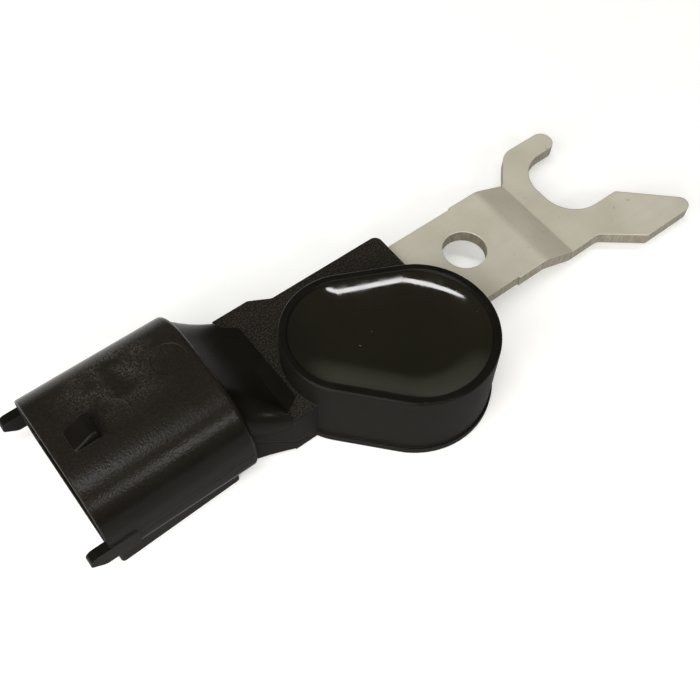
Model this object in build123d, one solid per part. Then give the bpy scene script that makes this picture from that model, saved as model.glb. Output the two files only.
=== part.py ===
from build123d import *
import math
import os

# Camshaft speed sensor with an overmoulded steel bracket, in millimetres.
# The origin is the middle of the bolt hole on the bracket's upper face. X runs along the arm
# from the plug socket towards the fork, Y across the arm and Z up, out of the upper face.

# Two points closer than this are one corner
SAME_PLACE = 0.01

# Steel bracket
STEEL = 2.0
HOLE_R = 3.3
ARM_MID_Y = -0.6
ARM_HALF = 8.0
ARM_FAR_Y = ARM_MID_Y + ARM_HALF
ARM_NEAR_Y = ARM_MID_Y - ARM_HALF
SHOULDER_X = 3.2
SHOULDER = 0.27
BEND_X = 8.6
STEP_X = 14.5
STEP_DOWN = 2.7
BEND_R = 0.8

# Fork at the end of the bracket
FORK_ROOT_X = 14.7
FORK_FLARE_X = 19.2
FAR_PRONG_Y = 12.3
FAR_TIP_X = 27.7
FAR_TIP_R = 1.7
SLOT_BOTTOM_X = 18.4
SLOT_FAR_Y = 8.7
SLOT_NEAR_Y = -4.0
SLOT_CORNER_R = 5.4
SLOT_MOUTH_X = 28.1
NEAR_TIP_X = 37.9
NEAR_TIP_R = 1.4
NEAR_PRONG_Y = -13.25
NEAR_PRONG_X = 25.9
ELBOW_X = 20.0
SOFT_R = 0.8

# Moulded plate round the bracket
PLATE_TOP = 1.3
PLATE_BOTTOM = -STEEL - PLATE_TOP
PLATE_RIGHT_X = -9.25
PLATE_LAP = 1.8
PLATE_FAR_Y = ARM_FAR_Y + PLATE_LAP
PLATE_NEAR_Y = ARM_NEAR_Y
PLATE_STEP_X = -28.0
PLATE_CORNER_R = 1.2
PLATE_EDGE_R = 0.3
EAR_PROUD = 1.65
EAR_FAR_Y = PLATE_FAR_Y + EAR_PROUD
EAR_LONG = 5.8
EAR_X = -36.8
EAR_STEP_X = EAR_X + EAR_LONG
BEAM_LONG = 6.3
ANCHOR_END_X = -31.2

# Holes that lock the plastic to the bracket: place along X, distance in from the far edge, radius
ANCHOR_HOLES = ((-14.0, 3.2, 1.3), (-27.6, 1.7, 0.7))

# Open pot for the electronics: two round ends joined by straight walls
BASE_Z = -6.8
RIM_Z = 6.4
WALL = 1.25
FLOOR_Z = BASE_Z + 1.2
SMALL_X = -24.75
SMALL_Y = -4.15
SMALL_R = 9.3
LARGE_X = -17.4
LARGE_Y = -9.7
LARGE_R = 11.05
FLANGE = 0.3
FLANGE_HIGH = 1.1
RIM_R = 0.35
BASE_R = 0.35

# Plug socket: a shroud with big upper and small lower corner radii
MOUTH_X = -64.4
REAR_X = -42.4
BACK = 3.2
SOCKET_Y = 3.8
SOCKET_HALF = 12.1
SOCKET_TOP = 7.3
SOCKET_TOP_R = 8.6
SOCKET_LOW_R = 3.7
SOCKET_WALL = 1.6
REAR_R = 0.8
LIP_R = 0.25

# Guide tongues beside the mouth and key rails under it
TONGUE_LONG = 3.0
TONGUE_THICK = 1.4
TONGUE_TOP = -0.7
TONGUE_LOW = -3.8
TONGUE_RAIL = 3.9
TONGUE_PROUD = 0.2
TONGUE_R = 1.2
KEY_SETBACK = 0.6
KEY_STOP = 2.9
KEY_WIDE = 3.2
KEY_HIGH = 3.0
KEY_INSET = 0.15
KEY_TAPER = 0.6
KEY_DROP = 0.35
KEY_R = 0.5

# Latch nose and ejector marks on the socket's top
LATCH_Y = 2.9
LATCH_HALF = 1.75
LATCH_FRONT_X = -62.0
LATCH_RIDGE_X = -59.3
LATCH_REAR_X = -58.3
LATCH_HIGH = 1.5
LATCH_R = 0.6
LATCH_EDGE_R = 0.35
MARK_R = 2.4
MARK_DEEP = 0.1
MARKS = ((-55.9, 2.9), (-46.0, 5.7))

# Neck between the socket and the plate: position, near side, far side, top and corner radius
NECK = (
    (REAR_X - 0.6, -6.4, 15.0, 6.4, 6.2),
    (-39.6, -7.5, 12.9, 3.4, 4.4),
    (EAR_X, PLATE_NEAR_Y, EAR_FAR_Y, 1.75, 1.6))
RAMP_LONG = 2.7
RAMP_END_X = EAR_X + RAMP_LONG
RAMP_NEAR_Y = -5.5
RAMP_FAR_Y = 7.5

# Contacts: blades in the socket, strips through the neck, tails up into the board
PITCH = 5.0
BLADE_TIP_X = -56.5
BLADE_WIDE = 2.8
BLADE_POINT = 0.3
STRIP_X = REAR_X - 1.0
STRIP_WIDE = 1.6
STRIP_END_X = -34.6
CONTACT = 0.8
CONTACT_Z = 0.2
TAIL_X = -29.6
TAIL_Y = -3.3
TAIL_PITCH = 3.4
TAIL_WIDE = 1.0
TAIL_TOP = 3.5

# Circuit board, its posts and the chips on it
BOARD_Z = 1.7
BOARD = 1.0
BOARD_TOP = BOARD_Z + BOARD
BOARD_GAP = 0.8
HOLE_GAP = 0.1
POST_R = 1.1
POSTS = ((-25.0, 2.0), (-26.5, -9.6), (-10.5, -7.2), (-13.0, -16.2))
CHIP_LONG = 2.0
CHIP_WIDE = 1.25
CHIPS = (
    ("capacitor_1", -23.4, -1.4, 0.9),
    ("capacitor_2", -23.4, -5.0, 0.9),
    ("resistor", -20.6, -13.4, 0.55))
SOLDER_HIGH = 0.7
SOLDER_GROW = 0.35
SOLDER_TOE = 0.45

# Sensing chip and its magnet, stacked on the floor of the pot
SENSOR_X = -18.0
SENSOR_Y = -9.5
SENSOR_LONG = 3.8
SENSOR_WIDE = 5.2
SENSOR_HIGH = 1.5
SENSOR_CHAMFER = 0.1
MAGNET_LONG = 3.6
MAGNET_WIDE = 5.0
MAGNET_HIGH = 3.4
MAGNET_R = 0.3
LEAD_PITCH = 1.27
LEAD_WIDE = 0.45
LEAD = 0.4
LEAD_OUT = 1.2

# Potting resin, which climbs the wall all round: a wide curve out of the flat middle, then a straight
# bank that meets the wall a little under the rim
RESIN_GAP = 0.3
RESIN_R = 10.0
RESIN_BANK = 0.3
RESIN_SLOPE = math.radians(30)
RESIN_CLIMB = RESIN_R * (1 - math.cos(RESIN_SLOPE)) + RESIN_BANK * math.sin(RESIN_SLOPE)
RESIN_Z = RIM_Z - RESIN_GAP - RESIN_CLIMB


def block(x0, x1, y0, y1, z0, z1):
    solid = Box(x1 - x0, y1 - y0, z1 - z0, align=(Align.MIN, Align.MIN, Align.MIN))
    return Pos(x0, y0, z0) * solid


def post(x, y, radius, low, top):
    solid = Cylinder(radius, top - low, align=(Align.CENTER, Align.CENTER, Align.MIN))
    return Pos(x, y, low) * solid


def prism(face, low, top):
    return extrude(Pos(0, 0, low) * face, top - low)


def plan(points):
    return make_face(Polyline(*points, close=True))


# Rounds the corners of a flat outline, each given by its place and radius
def rounded(face, corners):
    for x, y, radius in corners:
        corner = [v for v in face.vertices() if math.hypot(v.X - x, v.Y - y) < SAME_PLACE]
        face = fillet(corner, radius)
    return face


# Two round ends joined by their outer tangents
def egg(grow):
    with BuildSketch() as sketch:
        with Locations((SMALL_X, SMALL_Y)):
            Circle(SMALL_R + grow)
        with Locations((LARGE_X, LARGE_Y)):
            Circle(LARGE_R + grow)
        make_hull()
    return sketch.sketch


# The bracket strip seen from the side, with both bends, drawn with Z upwards and swept along Y
def bracket_side():
    slope = math.atan2(STEP_DOWN, STEP_X - BEND_X)
    shift = STEEL * math.tan(slope / 2)
    low = -STEP_DOWN
    end = NEAR_TIP_X
    face = plan([
        (ANCHOR_END_X, 0), (ANCHOR_END_X, -STEEL), (BEND_X - shift, -STEEL), (STEP_X - shift, low - STEEL),
        (end, low - STEEL), (end, low), (STEP_X, low), (BEND_X, 0)])
    face = rounded(face, (
        (BEND_X, 0, BEND_R + STEEL), (STEP_X, low, BEND_R),
        (STEP_X - shift, low - STEEL, BEND_R + STEEL), (BEND_X - shift, -STEEL, BEND_R)))
    return extrude(Plane.XZ.offset(-2 * ARM_HALF) * face, 4 * ARM_HALF)


# A round bottomed slot between a short far prong and a long, cranked near prong
def fork_plan():
    face = plan([
        (BEND_X, ARM_FAR_Y), (FORK_ROOT_X, ARM_FAR_Y), (FORK_FLARE_X, FAR_PRONG_Y), (FAR_TIP_X, FAR_PRONG_Y),
        (FAR_TIP_X, SLOT_FAR_Y), (SLOT_BOTTOM_X, SLOT_FAR_Y), (SLOT_BOTTOM_X, SLOT_NEAR_Y),
        (SLOT_MOUTH_X, SLOT_NEAR_Y), (NEAR_TIP_X, NEAR_PRONG_Y), (NEAR_PRONG_X, NEAR_PRONG_Y),
        (ELBOW_X, ARM_NEAR_Y), (BEND_X, ARM_NEAR_Y)])
    return rounded(face, (
        (FORK_ROOT_X, ARM_FAR_Y, SOFT_R), (FORK_FLARE_X, FAR_PRONG_Y, 2 * FAR_TIP_R),
        (FAR_TIP_X, FAR_PRONG_Y, FAR_TIP_R), (FAR_TIP_X, SLOT_FAR_Y, FAR_TIP_R),
        (SLOT_BOTTOM_X, SLOT_FAR_Y, SLOT_CORNER_R), (SLOT_BOTTOM_X, SLOT_NEAR_Y, SLOT_CORNER_R),
        (SLOT_MOUTH_X, SLOT_NEAR_Y, SOFT_R), (NEAR_TIP_X, NEAR_PRONG_Y, NEAR_TIP_R),
        (NEAR_PRONG_X, NEAR_PRONG_Y, SOFT_R), (ELBOW_X, ARM_NEAR_Y, 2 * SOFT_R)))


# The arm is a little narrower towards the plate, and its end runs beside the pot as an anchor
def arm_plan():
    slim = plan([
        (ANCHOR_END_X, ARM_FAR_Y - SHOULDER), (SHOULDER_X, ARM_FAR_Y - SHOULDER),
        (SHOULDER_X, ARM_NEAR_Y + SHOULDER), (ANCHOR_END_X, ARM_NEAR_Y + SHOULDER)])
    wide = plan([
        (SHOULDER_X, ARM_FAR_Y), (BEND_X, ARM_FAR_Y), (BEND_X, ARM_NEAR_Y), (SHOULDER_X, ARM_NEAR_Y)])
    return slim + wide - egg(-WALL / 2)


def bracket():
    low = -STEP_DOWN - 2 * STEEL
    steel = prism(arm_plan() + fork_plan(), low, STEEL) & bracket_side()
    steel -= post(0, 0, HOLE_R, low, STEEL)
    for x, inset, radius in ANCHOR_HOLES:
        steel -= post(x, ARM_FAR_Y - inset, radius, low, STEEL)
    return steel


def socket_face(grow):
    y0 = SOCKET_Y - SOCKET_HALF - grow
    y1 = SOCKET_Y + SOCKET_HALF + grow
    z0 = BASE_Z - grow
    z1 = SOCKET_TOP + grow
    top = SOCKET_TOP_R + grow
    low = SOCKET_LOW_R + grow
    return rounded(plan([(y0, z0), (y1, z0), (y1, z1), (y0, z1)]), (
        (y0, z0, low), (y1, z0, low), (y1, z1, top), (y0, z1, top)))


def across(face, x0, x1):
    return extrude(Plane.YZ.offset(x0) * face, x1 - x0)


# The shroud tube with its back wall, rounded at the rear and at both edges of the mouth
def shroud():
    tube = across(socket_face(0), MOUTH_X, REAR_X)
    tube = fillet(tube.faces().sort_by(Axis.X)[-1].edges(), REAR_R)
    tube -= across(socket_face(-SOCKET_WALL), MOUTH_X, REAR_X - BACK)
    return fillet(tube.faces().sort_by(Axis.X)[0].edges(), LIP_R)


# One guide tongue: a rib on the shroud's side that runs out past the mouth to a rounded tip
def tongue(side):
    x0 = MOUTH_X - TONGUE_LONG
    x1 = MOUTH_X + TONGUE_RAIL
    mid = (TONGUE_TOP + TONGUE_LOW) / 2
    face = plan([
        (x0, mid), (x0, TONGUE_TOP), (x1, TONGUE_TOP), (x1, TONGUE_LOW), (MOUTH_X - TONGUE_R, TONGUE_LOW)])
    face = rounded(face, (
        (x0, TONGUE_TOP, TONGUE_R), (MOUTH_X - TONGUE_R, TONGUE_LOW, TONGUE_R), (x0, mid, TONGUE_R / 2)))
    outer = SOCKET_HALF + TONGUE_PROUD
    start = SOCKET_Y - outer if side < 0 else SOCKET_Y + outer - TONGUE_THICK
    return extrude(Plane.XZ.offset(-start - TONGUE_THICK) * face, TONGUE_THICK)


# Rails that square off the two lower corners of the shroud, each a little thinner at the rear
def keys():
    x0 = MOUTH_X + KEY_SETBACK
    x1 = REAR_X - KEY_STOP
    low = BASE_Z - KEY_DROP
    rails = Part()
    for side in (-1, 1):
        front = SOCKET_Y + side * (SOCKET_HALF - KEY_INSET)
        rear = front - side * KEY_TAPER
        inner = front - side * KEY_WIDE
        rail = prism(plan([(x0, front), (x1, rear), (x1, inner), (x0, inner)]), low, low + KEY_HIGH)
        rails += fillet(rail.edges().filter_by(Axis.Z).sort_by(lambda e: -side * e.center().Y)[:2], KEY_R)
    return rails - across(socket_face(-SOCKET_WALL), MOUTH_X, REAR_X - BACK)


def latch():
    low = SOCKET_TOP - SOCKET_WALL / 2
    high = SOCKET_TOP + LATCH_HIGH
    face = plan([
        (LATCH_FRONT_X, low), (LATCH_FRONT_X, SOCKET_TOP), (LATCH_RIDGE_X, high), (LATCH_REAR_X, high),
        (LATCH_REAR_X, low)])
    nose = extrude(Plane.XZ.offset(-LATCH_Y - LATCH_HALF) * face, 2 * LATCH_HALF)
    nose = fillet(nose.edges().filter_by(Axis.Z).group_by(Axis.X)[0], LATCH_R)
    upper = [e for e in nose.edges() if e.center().Z > SOCKET_TOP + SAME_PLACE]
    return fillet(upper, LATCH_EDGE_R)


def neck_face(near, far, top, radius):
    return rounded(plan([(near, BASE_Z), (far, BASE_Z), (far, top), (near, top)]), (
        (near, BASE_Z, BASE_R), (far, BASE_Z, BASE_R), (far, top, radius), (near, top, radius)))


# The neck sweeps down in a hollow curve and ends in a low ramp on the plate
def neck():
    faces = [Plane.YZ.offset(x) * neck_face(*shape) for x, *shape in NECK]
    body = loft(faces)
    crest, round_off = NECK[-1][3:]
    side = plan([(EAR_X, 0), (EAR_X, crest), (RAMP_END_X, PLATE_TOP), (RAMP_END_X, 0)])
    ramp = extrude(Plane.XZ.offset(-EAR_FAR_Y) * side, EAR_FAR_Y - PLATE_NEAR_Y)
    ramp -= prism(plan([
        (EAR_X, PLATE_NEAR_Y), (EAR_X, PLATE_NEAR_Y + round_off), (RAMP_END_X, RAMP_NEAR_Y),
        (RAMP_END_X, PLATE_NEAR_Y)]), 0, RIM_Z)
    ramp -= prism(plan([
        (EAR_X, EAR_FAR_Y), (EAR_X, EAR_FAR_Y - round_off), (RAMP_END_X, RAMP_FAR_Y),
        (RAMP_END_X, EAR_FAR_Y)]), 0, RIM_Z)
    return body + ramp


# A thin plate over the bracket's anchor, thickened to the base where it carries the neck
def plate():
    face = plan([
        (PLATE_RIGHT_X, PLATE_FAR_Y), (PLATE_STEP_X, PLATE_FAR_Y), (EAR_STEP_X, EAR_FAR_Y),
        (EAR_X, EAR_FAR_Y), (EAR_X, PLATE_NEAR_Y), (SMALL_X, PLATE_NEAR_Y), (PLATE_RIGHT_X, SMALL_Y)])
    face = rounded(face, (
        (PLATE_RIGHT_X, PLATE_FAR_Y, PLATE_CORNER_R), (PLATE_STEP_X, PLATE_FAR_Y, PLATE_CORNER_R),
        (EAR_STEP_X, EAR_FAR_Y, PLATE_CORNER_R)))
    slab = prism(face, PLATE_BOTTOM, PLATE_TOP)
    slab = fillet(slab.faces().sort_by(Axis.Z)[-1].edges(), PLATE_EDGE_R)
    return slab + block(EAR_X, EAR_X + BEAM_LONG, PLATE_NEAR_Y, EAR_FAR_Y, BASE_Z, PLATE_BOTTOM)


def pot():
    ring = prism(egg(0), BASE_Z, RIM_Z) - prism(egg(-WALL), FLOOR_Z, RIM_Z)
    ring = fillet(ring.faces().sort_by(Axis.Z)[-1].edges(), RIM_R)
    ring += prism(egg(FLANGE), BASE_Z, BASE_Z + FLANGE_HIGH)
    for x, y in POSTS:
        ring += post(x, y, POST_R, FLOOR_Z, BOARD_Z)
    return ring


def housing(embedded):
    body = plate() + neck() - prism(egg(-WALL), BASE_Z, RIM_Z)
    body += shroud() + tongue(-1) + tongue(1) + keys() + latch()
    body += pot()
    for x, y in MARKS:
        body -= post(x, y, MARK_R, SOCKET_TOP - MARK_DEEP, SOCKET_TOP + MARK_DEEP)
    for piece in embedded:
        body -= piece
    return body


# One contact, stamped flat with a cranked strip and its tail bent up
def contact(index):
    y0 = SOCKET_Y + index * PITCH
    y1 = TAIL_Y + index * TAIL_PITCH
    low = CONTACT_Z - CONTACT / 2
    blade = block(BLADE_TIP_X, STRIP_X, y0 - BLADE_WIDE / 2, y0 + BLADE_WIDE / 2, low, low + CONTACT)
    blade = chamfer(blade.faces().sort_by(Axis.X)[0].edges(), BLADE_POINT)
    path = Polyline((STRIP_X - BLADE_POINT, y0), (STRIP_X + STRIP_WIDE, y0), (STRIP_END_X, y1), (TAIL_X, y1))
    strip = prism(trace(path, STRIP_WIDE), low, low + CONTACT)
    half = TAIL_WIDE / 2
    tail = block(TAIL_X - CONTACT / 2, TAIL_X + CONTACT / 2, y1 - half, y1 + half, low, TAIL_TOP)
    return blade + strip + tail


def sensor():
    body = block(
        SENSOR_X - SENSOR_LONG / 2, SENSOR_X + SENSOR_LONG / 2,
        SENSOR_Y - SENSOR_WIDE / 2, SENSOR_Y + SENSOR_WIDE / 2, FLOOR_Z, FLOOR_Z + SENSOR_HIGH)
    return chamfer(body.edges().filter_by(Axis.Y).group_by(Axis.X)[-1], SENSOR_CHAMFER)


def magnet():
    low = FLOOR_Z + SENSOR_HIGH
    body = block(
        SENSOR_X - MAGNET_LONG / 2, SENSOR_X + MAGNET_LONG / 2,
        SENSOR_Y - MAGNET_WIDE / 2, SENSOR_Y + MAGNET_WIDE / 2, low, low + MAGNET_HIGH)
    return fillet(body.edges().filter_by(Axis.Z), MAGNET_R)


def lead_x():
    return SENSOR_X + SENSOR_LONG / 2 + LEAD_OUT


# A lead leaves the sensor's side, turns up and goes through the board
def lead(index):
    y0 = SENSOR_Y + index * LEAD_PITCH - LEAD_WIDE / 2
    y1 = y0 + LEAD_WIDE
    mid = FLOOR_Z + SENSOR_HIGH / 2
    foot = block(SENSOR_X + SENSOR_LONG / 2, lead_x(), y0, y1, mid - LEAD / 2, mid + LEAD / 2)
    return foot + block(lead_x() - LEAD, lead_x(), y0, y1, mid - LEAD / 2, TAIL_TOP)


def board():
    face = prism(egg(-WALL - BOARD_GAP), BOARD_Z, BOARD_TOP)
    for index in (-1, 0, 1):
        y = TAIL_Y + index * TAIL_PITCH
        face -= post(TAIL_X, y, math.hypot(CONTACT, TAIL_WIDE) / 2 + HOLE_GAP, BOARD_Z, BOARD_TOP)
        y = SENSOR_Y + index * LEAD_PITCH
        face -= post(lead_x() - LEAD / 2, y, math.hypot(LEAD, LEAD_WIDE) / 2 + HOLE_GAP, BOARD_Z, BOARD_TOP)
    return face


# A solder cone round a tail or lead on the board's upper face
def solder_cone(x, y, radius, piece):
    cone = Cone(radius, radius - SOLDER_GROW, SOLDER_HIGH, align=(Align.CENTER, Align.CENTER, Align.MIN))
    return Pos(x, y, BOARD_TOP) * cone - piece


# A wedge of solder between a chip's end and the board
def solder_toe(x, y, side, high):
    face = plan([(x, BOARD_TOP), (x + side * SOLDER_TOE, BOARD_TOP), (x, BOARD_TOP + high)])
    return extrude(Plane.XZ.offset(-y - CHIP_WIDE / 2) * face, CHIP_WIDE)


def chip(x, y, high):
    long = CHIP_LONG / 2
    wide = CHIP_WIDE / 2
    return block(x - long, x + long, y - wide, y + wide, BOARD_TOP, BOARD_TOP + high)


# The room above the resin: a block with its lower edge sloped through the wall, rounded into the flat
def hollow():
    slope = RESIN_R * math.tan(RESIN_SLOPE / 2) + RESIN_BANK + WALL / math.cos(RESIN_SLOPE)
    room = prism(egg(0), RESIN_Z, RESIN_Z + slope)
    low = room.faces().sort_by(Axis.Z)[0]
    room = chamfer(low.edges(), slope * math.cos(RESIN_SLOPE), slope * math.sin(RESIN_SLOPE), reference=low)
    return fillet(room.faces().sort_by(Axis.Z)[0].edges(), RESIN_R)


# Resin fills the pot round everything in it
def resin(immersed):
    fill = prism(egg(-WALL), FLOOR_Z, RIM_Z - RESIN_GAP) - hollow()
    for x, y in POSTS:
        fill -= post(x, y, POST_R, FLOOR_Z, BOARD_Z)
    for piece in immersed:
        fill -= piece
    return fill


def electronics():
    pieces = {}
    for number, index in ((1, -1), (2, 0), (3, 1)):
        tail = contact(index)
        wire = lead(index)
        pieces[f"terminal_{number}"] = tail
        pieces[f"sensor_lead_{number}"] = wire
        radius = math.hypot(CONTACT, TAIL_WIDE) / 2 + SOLDER_GROW
        pieces[f"terminal_solder_{number}"] = solder_cone(TAIL_X, TAIL_Y + index * TAIL_PITCH, radius, tail)
        radius = LEAD + SOLDER_GROW / 2
        pieces[f"lead_solder_{number}"] = solder_cone(
            lead_x() - LEAD / 2, SENSOR_Y + index * LEAD_PITCH, radius, wire)
    pieces["hall_sensor"] = sensor()
    pieces["magnet"] = magnet()
    pieces["circuit_board"] = board()
    for name, x, y, high in CHIPS:
        pieces[name] = chip(x, y, high)
        pieces[f"{name}_solder_left"] = solder_toe(x - CHIP_LONG / 2, y, -1, high * SOLDER_HIGH)
        pieces[f"{name}_solder_right"] = solder_toe(x + CHIP_LONG / 2, y, 1, high * SOLDER_HIGH)
    return pieces


os.makedirs("parts", exist_ok=True)
pieces = electronics()
steel = bracket()
nodes = dict(pieces)
nodes["bracket"] = steel
nodes["housing"] = housing([steel] + [pieces[f"terminal_{n}"] for n in (1, 2, 3)])
nodes["potting_resin"] = resin(pieces.values())
for name, solid in nodes.items():
    export_step(solid, f"parts/{name}.step")
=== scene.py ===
import math
import bpy
from mathutils import Matrix, Vector


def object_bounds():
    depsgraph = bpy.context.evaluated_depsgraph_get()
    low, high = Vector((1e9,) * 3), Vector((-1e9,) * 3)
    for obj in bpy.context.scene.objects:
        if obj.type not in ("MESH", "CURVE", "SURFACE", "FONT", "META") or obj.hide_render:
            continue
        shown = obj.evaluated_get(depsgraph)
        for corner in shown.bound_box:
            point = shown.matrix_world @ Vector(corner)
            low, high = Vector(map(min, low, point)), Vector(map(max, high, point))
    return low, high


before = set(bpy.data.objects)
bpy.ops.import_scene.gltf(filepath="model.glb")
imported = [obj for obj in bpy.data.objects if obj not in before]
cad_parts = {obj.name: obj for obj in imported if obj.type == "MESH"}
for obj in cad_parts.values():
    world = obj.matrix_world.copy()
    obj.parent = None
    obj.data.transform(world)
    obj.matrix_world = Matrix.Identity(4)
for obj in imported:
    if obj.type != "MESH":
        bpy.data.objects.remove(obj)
cad_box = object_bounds()


# Steel bracket
# Cold rolled strip, 2 mm thick, with a thin dull tin finish. It is punched to shape in one blow, which rolls
# the upper edges over and tears every cut wall, and is then pressed down in a joggle.

# Sizes in the whole script are in millimetres, and MM turns them into the scene's metres.
MM = 0.001
TIN_CLOUD = 7.0
TIN_GRAIN = 0.2
ROLLING_MARK = 0.6
ROLLED_ALONG_X = (0.05, 1.0, 1.0)
TORN_RIDGE = 0.3
TORN_ALONG_Z = (1.0, 1.0, 0.15)
PIT_SPACING = 1.4
ROLLED_EDGE_R = 0.3


def linear(text):
    """An sRGB hex colour as linear light, with an alpha of 1."""
    parts = [int(text[place:place + 2], 16) / 255 for place in (1, 3, 5)]
    return tuple(v / 12.92 if v <= 0.04045 else ((v + 0.055) / 1.055) ** 2.4 for v in parts) + (1.0,)


def add(tree, kind, settings):
    """Adds one node. A setting is a property, a socket's value or hex colour, or the output that feeds it.

    A Mix of colours takes its share at socket 0, its two colours at 6 and 7, and gives output 2.
    """
    node = tree.nodes.new("ShaderNode" + kind)
    for name, value in settings.items():
        if isinstance(value, bpy.types.Node):
            value = value.outputs[0]
        if isinstance(value, bpy.types.NodeSocket):
            tree.links.new(value, node.inputs[name])
        elif isinstance(name, str) and hasattr(node, name):
            setattr(node, name, value)
        else:
            node.inputs[name].default_value = linear(value) if isinstance(value, str) else value
    return node


def begin(name, settings):
    """A new material with its shader's plain sockets set, its nodes, and the place on it in millimetres."""
    material = bpy.data.materials.new(name)
    material.use_nodes = True
    tree = material.node_tree
    shader = tree.nodes["Principled BSDF"]
    for socket, value in settings.items():
        shader.inputs[socket].default_value = value
    surface = add(tree, "NewGeometry", {})
    place = add(tree, "VectorMath", {"operation": "SCALE", 0: surface.outputs["Position"], "Scale": 1 / MM})
    return material, tree, place


def finish(material, colour, roughness, relief):
    """Feeds the shader, whose colour comes from a Mix of colours."""
    links = material.node_tree.links
    shader = material.node_tree.nodes["Principled BSDF"]
    links.new(colour.outputs[2], shader.inputs["Base Color"])
    links.new(roughness.outputs[0], shader.inputs["Roughness"])
    links.new(relief.outputs[0], shader.inputs["Normal"])


def dress(material, *names):
    """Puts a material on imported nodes."""
    for name in names:
        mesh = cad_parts[name].data
        mesh.materials.clear()
        mesh.materials.append(material)


def near_edge(tree, radius):
    """How near a point is to a sharp edge, from 0 on a flat to 1, and the normal of that edge rounded."""
    surface = add(tree, "NewGeometry", {})
    round_edge = add(tree, "Bevel", {"samples": 6, "Radius": radius * MM})
    turned = add(tree, "VectorMath", {
        "operation": "DOT_PRODUCT", 0: round_edge, 1: surface.outputs["Normal"]})
    share = add(tree, "MapRange", {"Value": turned.outputs["Value"], "From Min": 0.995, "From Max": 0.8})
    return share, round_edge


# The dull tin gives a soft, slightly warm white with a broad sheen. Its metallic share is matched below a
# bare metal's, because dull tin scatters. The tin's own grain is far too fine to show and is drawn 0.2 mm
# coarse.
steel, tree, place = begin("tinned_cold_rolled_steel", {"Metallic": 0.4})
surface = add(tree, "NewGeometry", {})
facing = add(tree, "SeparateXYZ", {0: surface.outputs["Normal"]})
level = add(tree, "Math", {"operation": "ABSOLUTE", 0: facing.outputs["Z"]})
cut = add(tree, "MapRange", {"Value": level, "From Min": 0.6, "From Max": 0.2})
cloud = add(tree, "TexNoise", {"Vector": place, "Scale": 1 / TIN_CLOUD, "Detail": 3.0})
tooth = add(tree, "TexNoise", {"Vector": place, "Scale": 1 / TIN_GRAIN, "Detail": 2.0})
along = add(tree, "VectorMath", {"operation": "MULTIPLY", 0: place, 1: ROLLED_ALONG_X})
rolled = add(tree, "TexNoise", {"Vector": along, "Scale": 1 / ROLLING_MARK, "Detail": 3.0})
down = add(tree, "VectorMath", {"operation": "MULTIPLY", 0: place, 1: TORN_ALONG_Z})
torn = add(tree, "TexNoise", {"Vector": down, "Scale": 1 / TORN_RIDGE, "Detail": 3.0})
pit = add(tree, "TexNoise", {"Vector": place, "Scale": 1 / PIT_SPACING, "Detail": 1.0})
edge_nearness, round_edge = near_edge(tree, ROLLED_EDGE_R)

# Pale tin with clouds, rolling marks and a few pits, darker torn walls, and a painted highlight on the edges
clouded = add(tree, "MapRange", {"Value": cloud, "From Min": 0.3, "From Max": 0.7})
streak = add(tree, "MapRange", {"Value": rolled, "From Min": 0.5, "From Max": 0.75, "To Max": 0.16})
pitted = add(tree, "MapRange", {"Value": pit, "From Min": 0.73, "From Max": 0.78, "To Max": 0.35})
tear = add(tree, "MapRange", {"Value": torn, "From Min": 0.3, "From Max": 0.7, "To Min": 0.65})
tear = add(tree, "Math", {"operation": "MULTIPLY", 0: tear, 1: cut})
# Painted highlight: every edge is lightened towards pale tin.
edge_wear_and_highlight = add(tree, "Math", {"operation": "MULTIPLY", 0: edge_nearness, 1: 0.4})
tone = add(tree, "Mix", {"data_type": "RGBA", 0: clouded, 6: "#CFC8B8", 7: "#DAD4C6"})
tone = add(tree, "Mix", {"data_type": "RGBA", 0: streak, 6: tone.outputs[2], 7: "#C0B9A9"})
tone = add(tree, "Mix", {"data_type": "RGBA", 0: pitted, 6: tone.outputs[2], 7: "#8E8778"})
tone = add(tree, "Mix", {"data_type": "RGBA", 0: tear, 6: tone.outputs[2], 7: "#7C7464"})
tone = add(tree, "Mix", {"data_type": "RGBA", 0: edge_wear_and_highlight, 6: tone.outputs[2], 7: "#E8E3D8"})

# The torn walls are rougher than the flats, and only they show the ridges
dull = add(tree, "MapRange", {"Value": clouded, "To Min": 0.46, "To Max": 0.54})
rough = add(tree, "Math", {"operation": "MULTIPLY_ADD", 0: cut, 1: 0.12, 2: dull})
ridged = add(tree, "Math", {"operation": "MULTIPLY", 0: cut, 1: 0.6})
relief = add(tree, "Bump", {"Strength": 0.2, "Distance": 0.04 * MM, "Height": tooth, "Normal": round_edge})
relief = add(tree, "Bump", {"Strength": ridged, "Distance": 0.08 * MM, "Height": torn, "Normal": relief})
finish(steel, tone, rough, relief)
dress(steel, "bracket")


# Housing
# One moulding in black nylon with chopped glass fibre, moulded round the bracket and the contacts. The
# socket's top has a fine mottled skin, scuffed by handling, under a painted sheen, the plate has a spark
# eroded grain, and the walls are satin.

PLATE_TOP = 1.3
SOCKET_TOP = 7.3
SOCKET_REAR_X = -42.4
LATCH_FOOT = SOCKET_TOP + 0.04
UPPER_SOCKET_BEGINS = SOCKET_TOP - 4.0
UPPER_SOCKET_IS_FULL = SOCKET_TOP - 2.0
PLATE_SLACK = 0.06
REAR_BLEND = 0.2
FIBRE_FLOW = 3.5
SKIN_GRAIN = 0.3
SPARK_GRAIN = 0.22
EDGE_ROUND_R = 0.15

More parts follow.
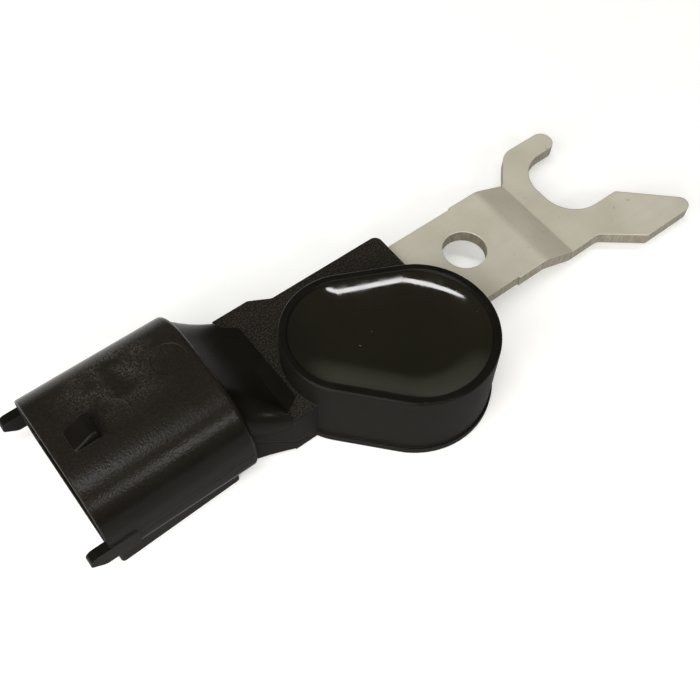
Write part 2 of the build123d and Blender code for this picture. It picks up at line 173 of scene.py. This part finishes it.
# Nylon's own index is about 1.5. It and the specular level are matched lower here, to the dark walls.
nylon, tree, place = begin("black_glass_filled_nylon", {"IOR": 1.3, "Specular IOR Level": 0.2})
at = add(tree, "SeparateXYZ", {0: place})
surface = add(tree, "NewGeometry", {})
facing = add(tree, "SeparateXYZ", {0: surface.outputs["Normal"]})
level = add(tree, "Math", {"operation": "ABSOLUTE", 0: facing.outputs["Z"]})
wall = add(tree, "MapRange", {"Value": level, "From Min": 0.35, "From Max": 0.08})
up = add(tree, "MapRange", {"Value": facing.outputs["Z"], "From Min": 0.6, "From Max": 0.95})

# Zones: the grained top of the plate, the socket's upper half, skinned and with a painted sheen, and the
# latch that stands on it
on_plate = add(tree, "Math", {"operation": "COMPARE", 0: at.outputs["Z"], 1: PLATE_TOP, 2: PLATE_SLACK})
plate = add(tree, "Math", {"operation": "MULTIPLY", 0: on_plate, 1: up})
left = add(tree, "MapRange", {
    "Value": at.outputs["X"], "From Min": SOCKET_REAR_X + REAR_BLEND, "From Max": SOCKET_REAR_X})
high = add(tree, "MapRange", {"Value": at.outputs["Z"], "From Min": UPPER_SOCKET_BEGINS, "From Max": UPPER_SOCKET_IS_FULL})
socket = add(tree, "Math", {"operation": "MULTIPLY", 0: high, 1: left})
above = add(tree, "Math", {"operation": "GREATER_THAN", 0: at.outputs["Z"], 1: LATCH_FOOT})
latch = add(tree, "Math", {"operation": "MULTIPLY", 0: above, 1: left})

# Chopped fibre and the tool's skin. The fibres are finer than this, and the skin over them is drawn 0.3 mm
# coarse.
flow = add(tree, "TexNoise", {"Vector": place, "Scale": 1 / FIBRE_FLOW, "Detail": 3.0})
skin = add(tree, "TexNoise", {"Vector": place, "Scale": 1 / SKIN_GRAIN, "Detail": 3.0})
spark = add(tree, "TexNoise", {"Vector": place, "Scale": 1 / SPARK_GRAIN, "Detail": 2.0})
flowed = add(tree, "MapRange", {"Value": flow, "From Min": 0.3, "From Max": 0.7})
mottle = add(tree, "MapRange", {"Value": skin, "From Min": 0.35, "From Max": 0.65})
grain = add(tree, "MapRange", {"Value": spark, "From Min": 0.42, "From Max": 0.66})

# Scuffs gather on the far rear of the socket's top, as fine grey grain that thins outwards. They are as fine
# as 0.05 mm and are drawn 0.25 mm coarse.
SCUFF_AT = (-53.0, 9.5, SOCKET_TOP)
SCUFF_R = 9.0
SCUFF_CORE_R = 2.0
SCUFF_PATCH = 3.0
SCUFF_GRAIN = 0.25
middle = add(tree, "VectorMath", {"operation": "DISTANCE", 0: place, 1: SCUFF_AT})
gathered = add(tree, "MapRange", {
    "Value": middle.outputs["Value"], "From Min": SCUFF_R, "From Max": SCUFF_CORE_R})
patchy = add(tree, "TexNoise", {"Vector": place, "Scale": 1 / SCUFF_PATCH, "Detail": 3.0})
patch = add(tree, "MapRange", {"Value": patchy, "From Min": 0.35, "From Max": 0.6})
nicks = add(tree, "TexNoise", {"Vector": place, "Scale": 1 / SCUFF_GRAIN, "Detail": 3.0})
nicked = add(tree, "MapRange", {"Value": nicks, "From Min": 0.42, "From Max": 0.68})
scuff = add(tree, "Math", {"operation": "MULTIPLY", 0: patch, 1: nicked})
scuff = add(tree, "Math", {"operation": "MULTIPLY", 0: scuff, 1: gathered})
scuff = add(tree, "Math", {"operation": "MULTIPLY", 0: scuff, 1: socket})

# The small ring that a mould pin leaves beside the latch, faint in places
RING_AT = (-59.4, 6.9, SOCKET_TOP)
RING_R = 0.8
RING_HALF = 0.1
centre = add(tree, "VectorMath", {"operation": "DISTANCE", 0: place, 1: RING_AT})
ring = add(tree, "Math", {"operation": "COMPARE", 0: centre.outputs["Value"], 1: RING_R, 2: RING_HALF})
ring = add(tree, "Math", {"operation": "MULTIPLY", 0: ring, 1: mottle})

# The parting line of the mould runs back along the near wall of the socket and drops along the neck. Each
# stretch is given as the X and Z of its two ends.
SOCKET_LINE = (-60.6, -2.1, -42.9, -0.9)
NECK_LINE = (-41.7, -2.0, -33.3, -6.3)
LINE_HALF = 0.2
near = add(tree, "MapRange", {"Value": facing.outputs["Y"], "From Min": -0.3, "From Max": -0.5})
lines = []
for x0, z0, x1, z1 in (SOCKET_LINE, NECK_LINE):
    run = add(tree, "MapRange", {
        "Value": at.outputs["X"], "From Min": x0, "From Max": x1, "To Min": z0, "To Max": z1})
    rise = add(tree, "Math", {"operation": "SUBTRACT", 0: at.outputs["Z"], 1: run})
    rise = add(tree, "Math", {"operation": "ABSOLUTE", 0: rise})
    on_line = add(tree, "MapRange", {"Value": rise, "From Min": LINE_HALF, "From Max": 0.0})
    after = add(tree, "Math", {"operation": "GREATER_THAN", 0: at.outputs["X"], 1: x0})
    before = add(tree, "Math", {"operation": "LESS_THAN", 0: at.outputs["X"], 1: x1})
    span = add(tree, "Math", {"operation": "MULTIPLY", 0: after, 1: before})
    lines.append(add(tree, "Math", {"operation": "MULTIPLY", 0: on_line, 1: span}))
parting = add(tree, "Math", {"operation": "MAXIMUM", 0: lines[0], 1: lines[1]})
parting = add(tree, "Math", {"operation": "MULTIPLY", 0: parting, 1: near})
groove = add(tree, "Math", {"operation": "MAXIMUM", 0: parting, 1: ring})

# Near black, greyer in the grain and the scuffs. Painted light lies over it: a sheen on the socket's upper
# half but not the latch, highlights on the edges, of which the latch has fewer, and shade in the grooves
edge_nearness, round_edge = near_edge(tree, EDGE_ROUND_R)
# Painted highlight on the edges, weaker on the latch.
edge_highlight_share = add(tree, "Math", {"operation": "MULTIPLY_ADD", 0: latch, 1: -0.4, 2: 0.5})
edge_wear_and_highlight = add(tree, "Math", {"operation": "MULTIPLY", 0: edge_nearness, 1: edge_highlight_share})
# Painted sheen: the socket's upper half is lightened, mottled with the skin, and the latch is left dark.
mottled_painted_sheen = add(tree, "Math", {"operation": "MULTIPLY_ADD", 0: mottle, 1: 0.5, 2: 0.5})
mottled_painted_sheen = add(tree, "Math", {"operation": "MULTIPLY", 0: mottled_painted_sheen, 1: socket})
mottled_painted_sheen = add(tree, "Math", {"operation": "SUBTRACT", 0: mottled_painted_sheen, 1: latch, "use_clamp": True})
grained = add(tree, "Math", {"operation": "MULTIPLY", 0: grain, 1: plate})
# Painted shade darkens the grooves of the parting line and the ring.
shaded = add(tree, "Math", {"operation": "MULTIPLY", 0: groove, 1: 0.7})
tone = add(tree, "Mix", {"data_type": "RGBA", 0: flowed, 6: "#12100D", 7: "#161411"})
tone = add(tree, "Mix", {"data_type": "RGBA", 0: mottled_painted_sheen, 6: tone.outputs[2], 7: "#23201C"})
tone = add(tree, "Mix", {"data_type": "RGBA", 0: grained, 6: tone.outputs[2], 7: "#37332D"})
tone = add(tree, "Mix", {"data_type": "RGBA", 0: scuff, 6: tone.outputs[2], 7: "#4E4A44"})
tone = add(tree, "Mix", {"data_type": "RGBA", 0: edge_wear_and_highlight, 6: tone.outputs[2], 7: "#37332E"})
tone = add(tree, "Mix", {"data_type": "RGBA", 0: shaded, 6: tone.outputs[2], 7: "#070605"})

# Smoothest on the socket, which is polished, and rougher on walls, on the plate's grain and in the scuffs
satin = add(tree, "MapRange", {"Value": flowed, "To Min": 0.17, "To Max": 0.23})
unpolished = add(tree, "Math", {"operation": "MULTIPLY_ADD", 0: left, 1: -0.1, 2: 0.1})
rough = add(tree, "Math", {"operation": "ADD", 0: satin, 1: unpolished})
rough = add(tree, "Math", {"operation": "MULTIPLY_ADD", 0: wall, 1: 0.42, 2: rough})
rough = add(tree, "Math", {"operation": "MULTIPLY_ADD", 0: plate, 1: 0.2, 2: rough})
rough = add(tree, "Math", {"operation": "MULTIPLY_ADD", 0: scuff, 1: 0.2, 2: rough})
textured = add(tree, "Math", {"operation": "MULTIPLY_ADD", 0: socket, 1: 0.4, 2: 0.12})
eroded = add(tree, "Math", {"operation": "MULTIPLY", 0: plate, 1: 0.8})
relief = add(tree, "Bump", {
    "Strength": textured, "Distance": 0.06 * MM, "Height": skin, "Normal": round_edge})
relief = add(tree, "Bump", {"Strength": eroded, "Distance": 0.1 * MM, "Height": spark, "Normal": relief})
relief = add(tree, "Bump", {
    "Strength": 0.8, "Distance": 0.15 * MM, "Height": groove, "Normal": relief, "invert": True})
finish(nylon, tone, rough, relief)
dress(nylon, "housing")


# Contacts
# Stamped from bronze strip that was tinned first, so the faces are pale and wiped, and the cut edges warmer.
# The housing is moulded round them, and their tails go up into the board.

WIPE_MARK = 0.4
WIPED_ALONG_X = (0.12, 1.0, 1.0)
STAMPED_EDGE_R = 0.1

tinned, tree, place = begin("tinned_bronze", {"Metallic": 1.0})
along = add(tree, "VectorMath", {"operation": "MULTIPLY", 0: place, 1: WIPED_ALONG_X})
wipe = add(tree, "TexNoise", {"Vector": along, "Scale": 1 / WIPE_MARK, "Detail": 3.0})
wiped = add(tree, "MapRange", {"Value": wipe, "From Min": 0.3, "From Max": 0.7})
edge_nearness, round_edge = near_edge(tree, STAMPED_EDGE_R)
edge_wear_and_highlight = add(tree, "Math", {"operation": "MULTIPLY", 0: edge_nearness, 1: 0.7})
tone = add(tree, "Mix", {"data_type": "RGBA", 0: wiped, 6: "#BEB9AE", 7: "#D2CEC4"})
tone = add(tree, "Mix", {"data_type": "RGBA", 0: edge_wear_and_highlight, 6: tone.outputs[2], 7: "#B8925F"})
rough = add(tree, "MapRange", {"Value": wiped, "To Min": 0.28, "To Max": 0.42})
relief = add(tree, "Bump", {"Strength": 0.2, "Distance": 0.02 * MM, "Height": wipe, "Normal": round_edge})
finish(tinned, tone, rough, relief)
dress(tinned, "terminal_1", "terminal_2", "terminal_3")


# Circuit board
# Glass cloth laminate under green solder mask, held by the solder on the tails of the contacts. The weave,
# 0.45 mm a thread, shows faintly through the mask.

THREAD = 0.45
MASK_CLOUD = 2.5

laminate, tree, place = begin("green_masked_laminate", {"IOR": 1.5})
weave = add(tree, "TexChecker", {"Vector": place, "Scale": 1 / THREAD})
cloud = add(tree, "TexNoise", {"Vector": place, "Scale": 1 / MASK_CLOUD, "Detail": 2.0})
clouded = add(tree, "MapRange", {"Value": cloud, "From Min": 0.3, "From Max": 0.7})
thread = add(tree, "Math", {"operation": "MULTIPLY", 0: weave.outputs["Fac"], 1: 0.2})
tone = add(tree, "Mix", {"data_type": "RGBA", 0: clouded, 6: "#1E4A2C", 7: "#255634"})
tone = add(tree, "Mix", {"data_type": "RGBA", 0: thread, 6: tone.outputs[2], 7: "#316642"})
rough = add(tree, "MapRange", {"Value": clouded, "To Min": 0.3, "To Max": 0.42})
relief = add(tree, "Bump", {"Strength": 0.15, "Distance": 0.02 * MM, "Height": weave.outputs["Fac"]})
finish(laminate, tone, rough, relief)
dress(laminate, "circuit_board")


# Sensing chip
# Moulded in matt black epoxy with silica sand in it. It stands on the floor of the pot and is wired to the
# board by its three leads. The sand is far finer and is drawn 0.12 mm coarse to show at all.

SAND = 0.12


def grained_finish(name, settings, grain, tones, roughness, bump, stretch=(1.0, 1.0, 1.0), tone_from=0.3,
                   rough_from=0.3):
    """A finish whose colour, roughness and relief follow one grain of a size in millimetres.

    The tones and the roughness run from the grain's hollows to its crests. The bump is a strength and a
    depth in millimetres.
    """
    material, tree, place = begin(name, settings)
    drawn = add(tree, "VectorMath", {"operation": "MULTIPLY", 0: place, 1: stretch})
    speckle = add(tree, "TexNoise", {"Vector": drawn, "Scale": 1 / grain, "Detail": 3.0})
    crest = add(tree, "MapRange", {"Value": speckle, "From Min": tone_from, "From Max": 0.7})
    tone = add(tree, "Mix", {"data_type": "RGBA", 0: crest, 6: tones[0], 7: tones[1]})
    rough = add(tree, "MapRange", {
        "Value": speckle, "From Min": rough_from, "From Max": 0.7, "To Min": roughness[0],
        "To Max": roughness[1]})
    relief = add(tree, "Bump", {"Strength": bump[0], "Distance": bump[1] * MM, "Height": speckle})
    finish(material, tone, rough, relief)
    return material


epoxy = grained_finish(
    "chip_moulding_epoxy", {"IOR": 1.55}, SAND, tones=("#1B1B1C", "#2A2A2B"), roughness=(0.5, 0.65),
    bump=(0.3, 0.03), tone_from=0.35)
dress(epoxy, "hall_sensor")


# Leads of the sensing chip
# Tinned copper, sheared from a frame and bent up through the board, where each is soldered. The bending tool
# leaves fine drawn marks along them.

DRAWN_MARK = 0.15
DRAWN_ALONG_Z = (1.0, 1.0, 0.12)

wire = grained_finish(
    "tinned_copper_lead", {"Metallic": 1.0}, DRAWN_MARK, tones=("#B4B0A8", "#CFCCC6"),
    roughness=(0.25, 0.4), bump=(0.2, 0.02), stretch=DRAWN_ALONG_Z)
dress(wire, "sensor_lead_1", "sensor_lead_2", "sensor_lead_3")


# Magnet
# A pressed and sintered block, plated with nickel that leaves a warm, slightly orange peeled shine. It
# stands on the sensing chip, and the resin holds it there.

PLATING_PEEL = 0.3

nickel = grained_finish(
    "nickel_plated_magnet", {"Metallic": 1.0}, PLATING_PEEL, tones=("#B9B6AE", "#C8C5BE"),
    roughness=(0.22, 0.34), bump=(0.1, 0.02))
dress(nickel, "magnet")


# Chips on the board
# Two capacitors in fired tan ceramic and a resistor under black glaze, all slightly uneven from the kiln.
# Each is soldered to the board at its two ends.

KILN_SPOT = 0.2

ceramic = grained_finish(
    "fired_tan_ceramic", {"IOR": 1.6}, KILN_SPOT, tones=("#8F7454", "#A48A68"), roughness=(0.45, 0.6),
    bump=(0.15, 0.02))
dress(ceramic, "capacitor_1", "capacitor_2")
glaze = grained_finish(
    "black_resistor_glaze", {"IOR": 1.52}, KILN_SPOT, tones=("#161616", "#242424"), roughness=(0.2, 0.34),
    bump=(0.15, 0.02))
dress(glaze, "resistor")


# Solder
# Tin alloy, frozen from the melt as a cone on each tail and lead and as a fillet at each chip end. It is
# bright with slightly frosted patches.

FROST = 0.15

solder = grained_finish(
    "tin_solder", {"Metallic": 1.0}, FROST, tones=("#AFAFAE", "#CBCBCA"), roughness=(0.18, 0.42),
    bump=(0.15, 0.02), rough_from=0.35)
dress(solder, *(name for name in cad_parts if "solder" in name))


# Potting resin
# Black epoxy poured into the pot, which sets glossy, climbs the wall all round and has a faint olive cast. A
# few specks of dust are caught in it.

POOL_WAVE = 7.0
DUST_SPACING = 0.7
FILM_PATCH = 2.2

resin, tree, place = begin("black_potting_epoxy", {"IOR": 1.55})
pool = add(tree, "TexNoise", {"Vector": place, "Scale": 1 / POOL_WAVE, "Detail": 2.0})
pooled = add(tree, "MapRange", {"Value": pool, "From Min": 0.3, "From Max": 0.7})
speck = add(tree, "TexNoise", {"Vector": place, "Scale": 1 / DUST_SPACING, "Detail": 0.0})
dust = add(tree, "MapRange", {"Value": speck, "From Min": 0.885, "From Max": 0.91, "To Max": 0.7})
film = add(tree, "TexNoise", {"Vector": place, "Scale": 1 / FILM_PATCH, "Detail": 3.0})
filmed = add(tree, "MapRange", {
    "Value": film, "From Min": 0.4, "From Max": 0.7, "To Min": 0.06, "To Max": 0.11})
tone = add(tree, "Mix", {"data_type": "RGBA", 0: pooled, 6: "#14120B", 7: "#17150E"})
tone = add(tree, "Mix", {"data_type": "RGBA", 0: dust, 6: tone.outputs[2], 7: "#8A8578"})
rough = add(tree, "Math", {"operation": "MULTIPLY_ADD", 0: dust, 1: 0.3, 2: filmed})
relief = add(tree, "Bump", {"Strength": 0.1, "Distance": 0.1 * MM, "Height": pool})
finish(resin, tone, rough, relief)
dress(resin, "potting_resin")


# Floor
# A pale matt sheet of paper under the sensor. It glows just enough to show as white, and keeps a soft shadow
# where the sensor stands on it.

FLOOR_WIDTH = 6000.0
FLOOR_GAP = 0.02
PAPER_FIBRE = 3.0
GLOW = 0.36

floor_height = cad_box[0].z - FLOOR_GAP * MM
bpy.ops.mesh.primitive_plane_add(size=FLOOR_WIDTH * MM, location=(0.0, 0.0, floor_height))
floor = bpy.context.object
floor.name = "floor"
paper, tree, place = begin("white_paper", {"Roughness": 0.9, "Specular IOR Level": 0.1})
fibre = add(tree, "TexNoise", {"Vector": place, "Scale": 1 / PAPER_FIBRE, "Detail": 4.0})
felted = add(tree, "MapRange", {"Value": fibre, "From Min": 0.3, "From Max": 0.7})
tone = add(tree, "Mix", {"data_type": "RGBA", 0: felted, 6: "#DADAD9", 7: "#DEDEDD"})
shader = tree.nodes["Principled BSDF"]
tree.links.new(tone.outputs[2], shader.inputs["Base Color"])
path = add(tree, "LightPath", {})
mirrored = add(tree, "Math", {
    "operation": "MAXIMUM", 0: path.outputs["Is Glossy Ray"], 1: path.outputs["Is Transmission Ray"]})
seen = add(tree, "Math", {"operation": "MAXIMUM", 0: path.outputs["Is Camera Ray"], 1: mirrored})
white = add(tree, "Emission", {"Color": "#FFFFFF", "Strength": GLOW})
lifted = add(tree, "AddShader", {0: shader, 1: white})
shown = add(tree, "MixShader", {0: seen, 1: shader, 2: lifted})
tree.links.new(shown.outputs[0], tree.nodes["Material Output"].inputs["Surface"])
floor.data.materials.append(paper)


# Light
# A small soft box low behind the camera's right shoulder, a large one on its left, and a narrow strip
# overhead that the resin's edge mirrors. The room is dark, with a paler wall low behind the sensor.

AIM = Vector((-20.0, 0.0, 0.0)) * MM
BEHIND_SENSOR = (0.48, 0.80, 0.35)
WALL_ENDS = 0.85
WALL_IS_FULL = 0.99
DARK_ROOM = 0.12
PALE_WALL = 0.55


def lamp(name, direction, distance, width, height, radiance, colour):
    """A soft oval lamp that looks at the sensor. A radiance of 1 is as bright as white paper."""
    data = bpy.data.lights.new(name, "AREA")
    data.shape = "ELLIPSE"
    data.size = width * MM
    data.size_y = height * MM
    area = math.pi / 4 * data.size * data.size_y
    data.energy = radiance * math.pi * area
    data.color = linear(colour)[:3]
    item = bpy.data.objects.new(name, data)
    away = Vector(direction).normalized()
    item.location = AIM + away * distance * MM
    item.rotation_euler = away.to_track_quat("Z", "Y").to_euler()
    bpy.context.scene.collection.objects.link(item)


lamp("key", direction=(0.12, -0.785, 0.60), distance=900.0, width=240.0, height=140.0, radiance=15.0,
     colour="#FFFDF8")
lamp("fill", direction=(-0.80, -0.30, 0.52), distance=420.0, width=450.0, height=450.0, radiance=4.4,
     colour="#FFFEFB")
lamp("strip", direction=(-0.136, -0.085, 0.987), distance=800.0, width=760.0, height=95.0, radiance=16.0,
     colour="#FFFFFF")

room = bpy.data.worlds.new("room")
bpy.context.scene.world = room
room.use_nodes = True
tree = room.node_tree
toward = add(tree, "TexCoord", {})
behind = add(tree, "VectorMath", {
    "operation": "DOT_PRODUCT", 0: toward.outputs["Generated"], 1: BEHIND_SENSOR})
paler = add(tree, "MapRange", {
    "interpolation_type": "SMOOTHSTEP", "Value": behind.outputs["Value"], "From Min": WALL_ENDS,
    "From Max": WALL_IS_FULL, "To Min": DARK_ROOM, "To Max": PALE_WALL})
walls = tree.nodes["Background"]
walls.inputs["Color"].default_value = linear("#EFECD6")
tree.links.new(paler.outputs[0], walls.inputs["Strength"])


# Camera
# Stands close over the socket's near corner and looks down along the arm, as the photograph does. Its place,
# its aim and its lens were fitted to points on the sensor in the photograph.

EYE = Vector((-68.4687, -58.4291, 115.2848)) * MM
AZIMUTH = math.radians(50.9041)
DOWN = math.radians(58.5007)
ROLL = math.radians(1.9699)
FOCAL_LENGTH = 50.731
FILM_WIDTH = 36.0
NEAREST = 10.0

flat = math.cos(DOWN)
ahead = Vector((math.cos(AZIMUTH) * flat, math.sin(AZIMUTH) * flat, -math.sin(DOWN)))
right = ahead.cross(Vector((0.0, 0.0, 1.0))).normalized()
upward = right.cross(ahead)
tilted_right = right * math.cos(ROLL) + upward * math.sin(ROLL)
tilted_up = upward * math.cos(ROLL) - right * math.sin(ROLL)
lens = bpy.data.cameras.new("camera")
lens.lens = FOCAL_LENGTH
lens.sensor_width = FILM_WIDTH
lens.clip_start = NEAREST * MM
camera = bpy.data.objects.new("camera", lens)
camera.matrix_world = Matrix((tilted_right, tilted_up, -ahead)).transposed().to_4x4()
camera.location = EYE
bpy.context.scene.collection.objects.link(camera)
bpy.context.scene.camera = camera
bpy.context.scene.view_settings.view_transform = "Standard"
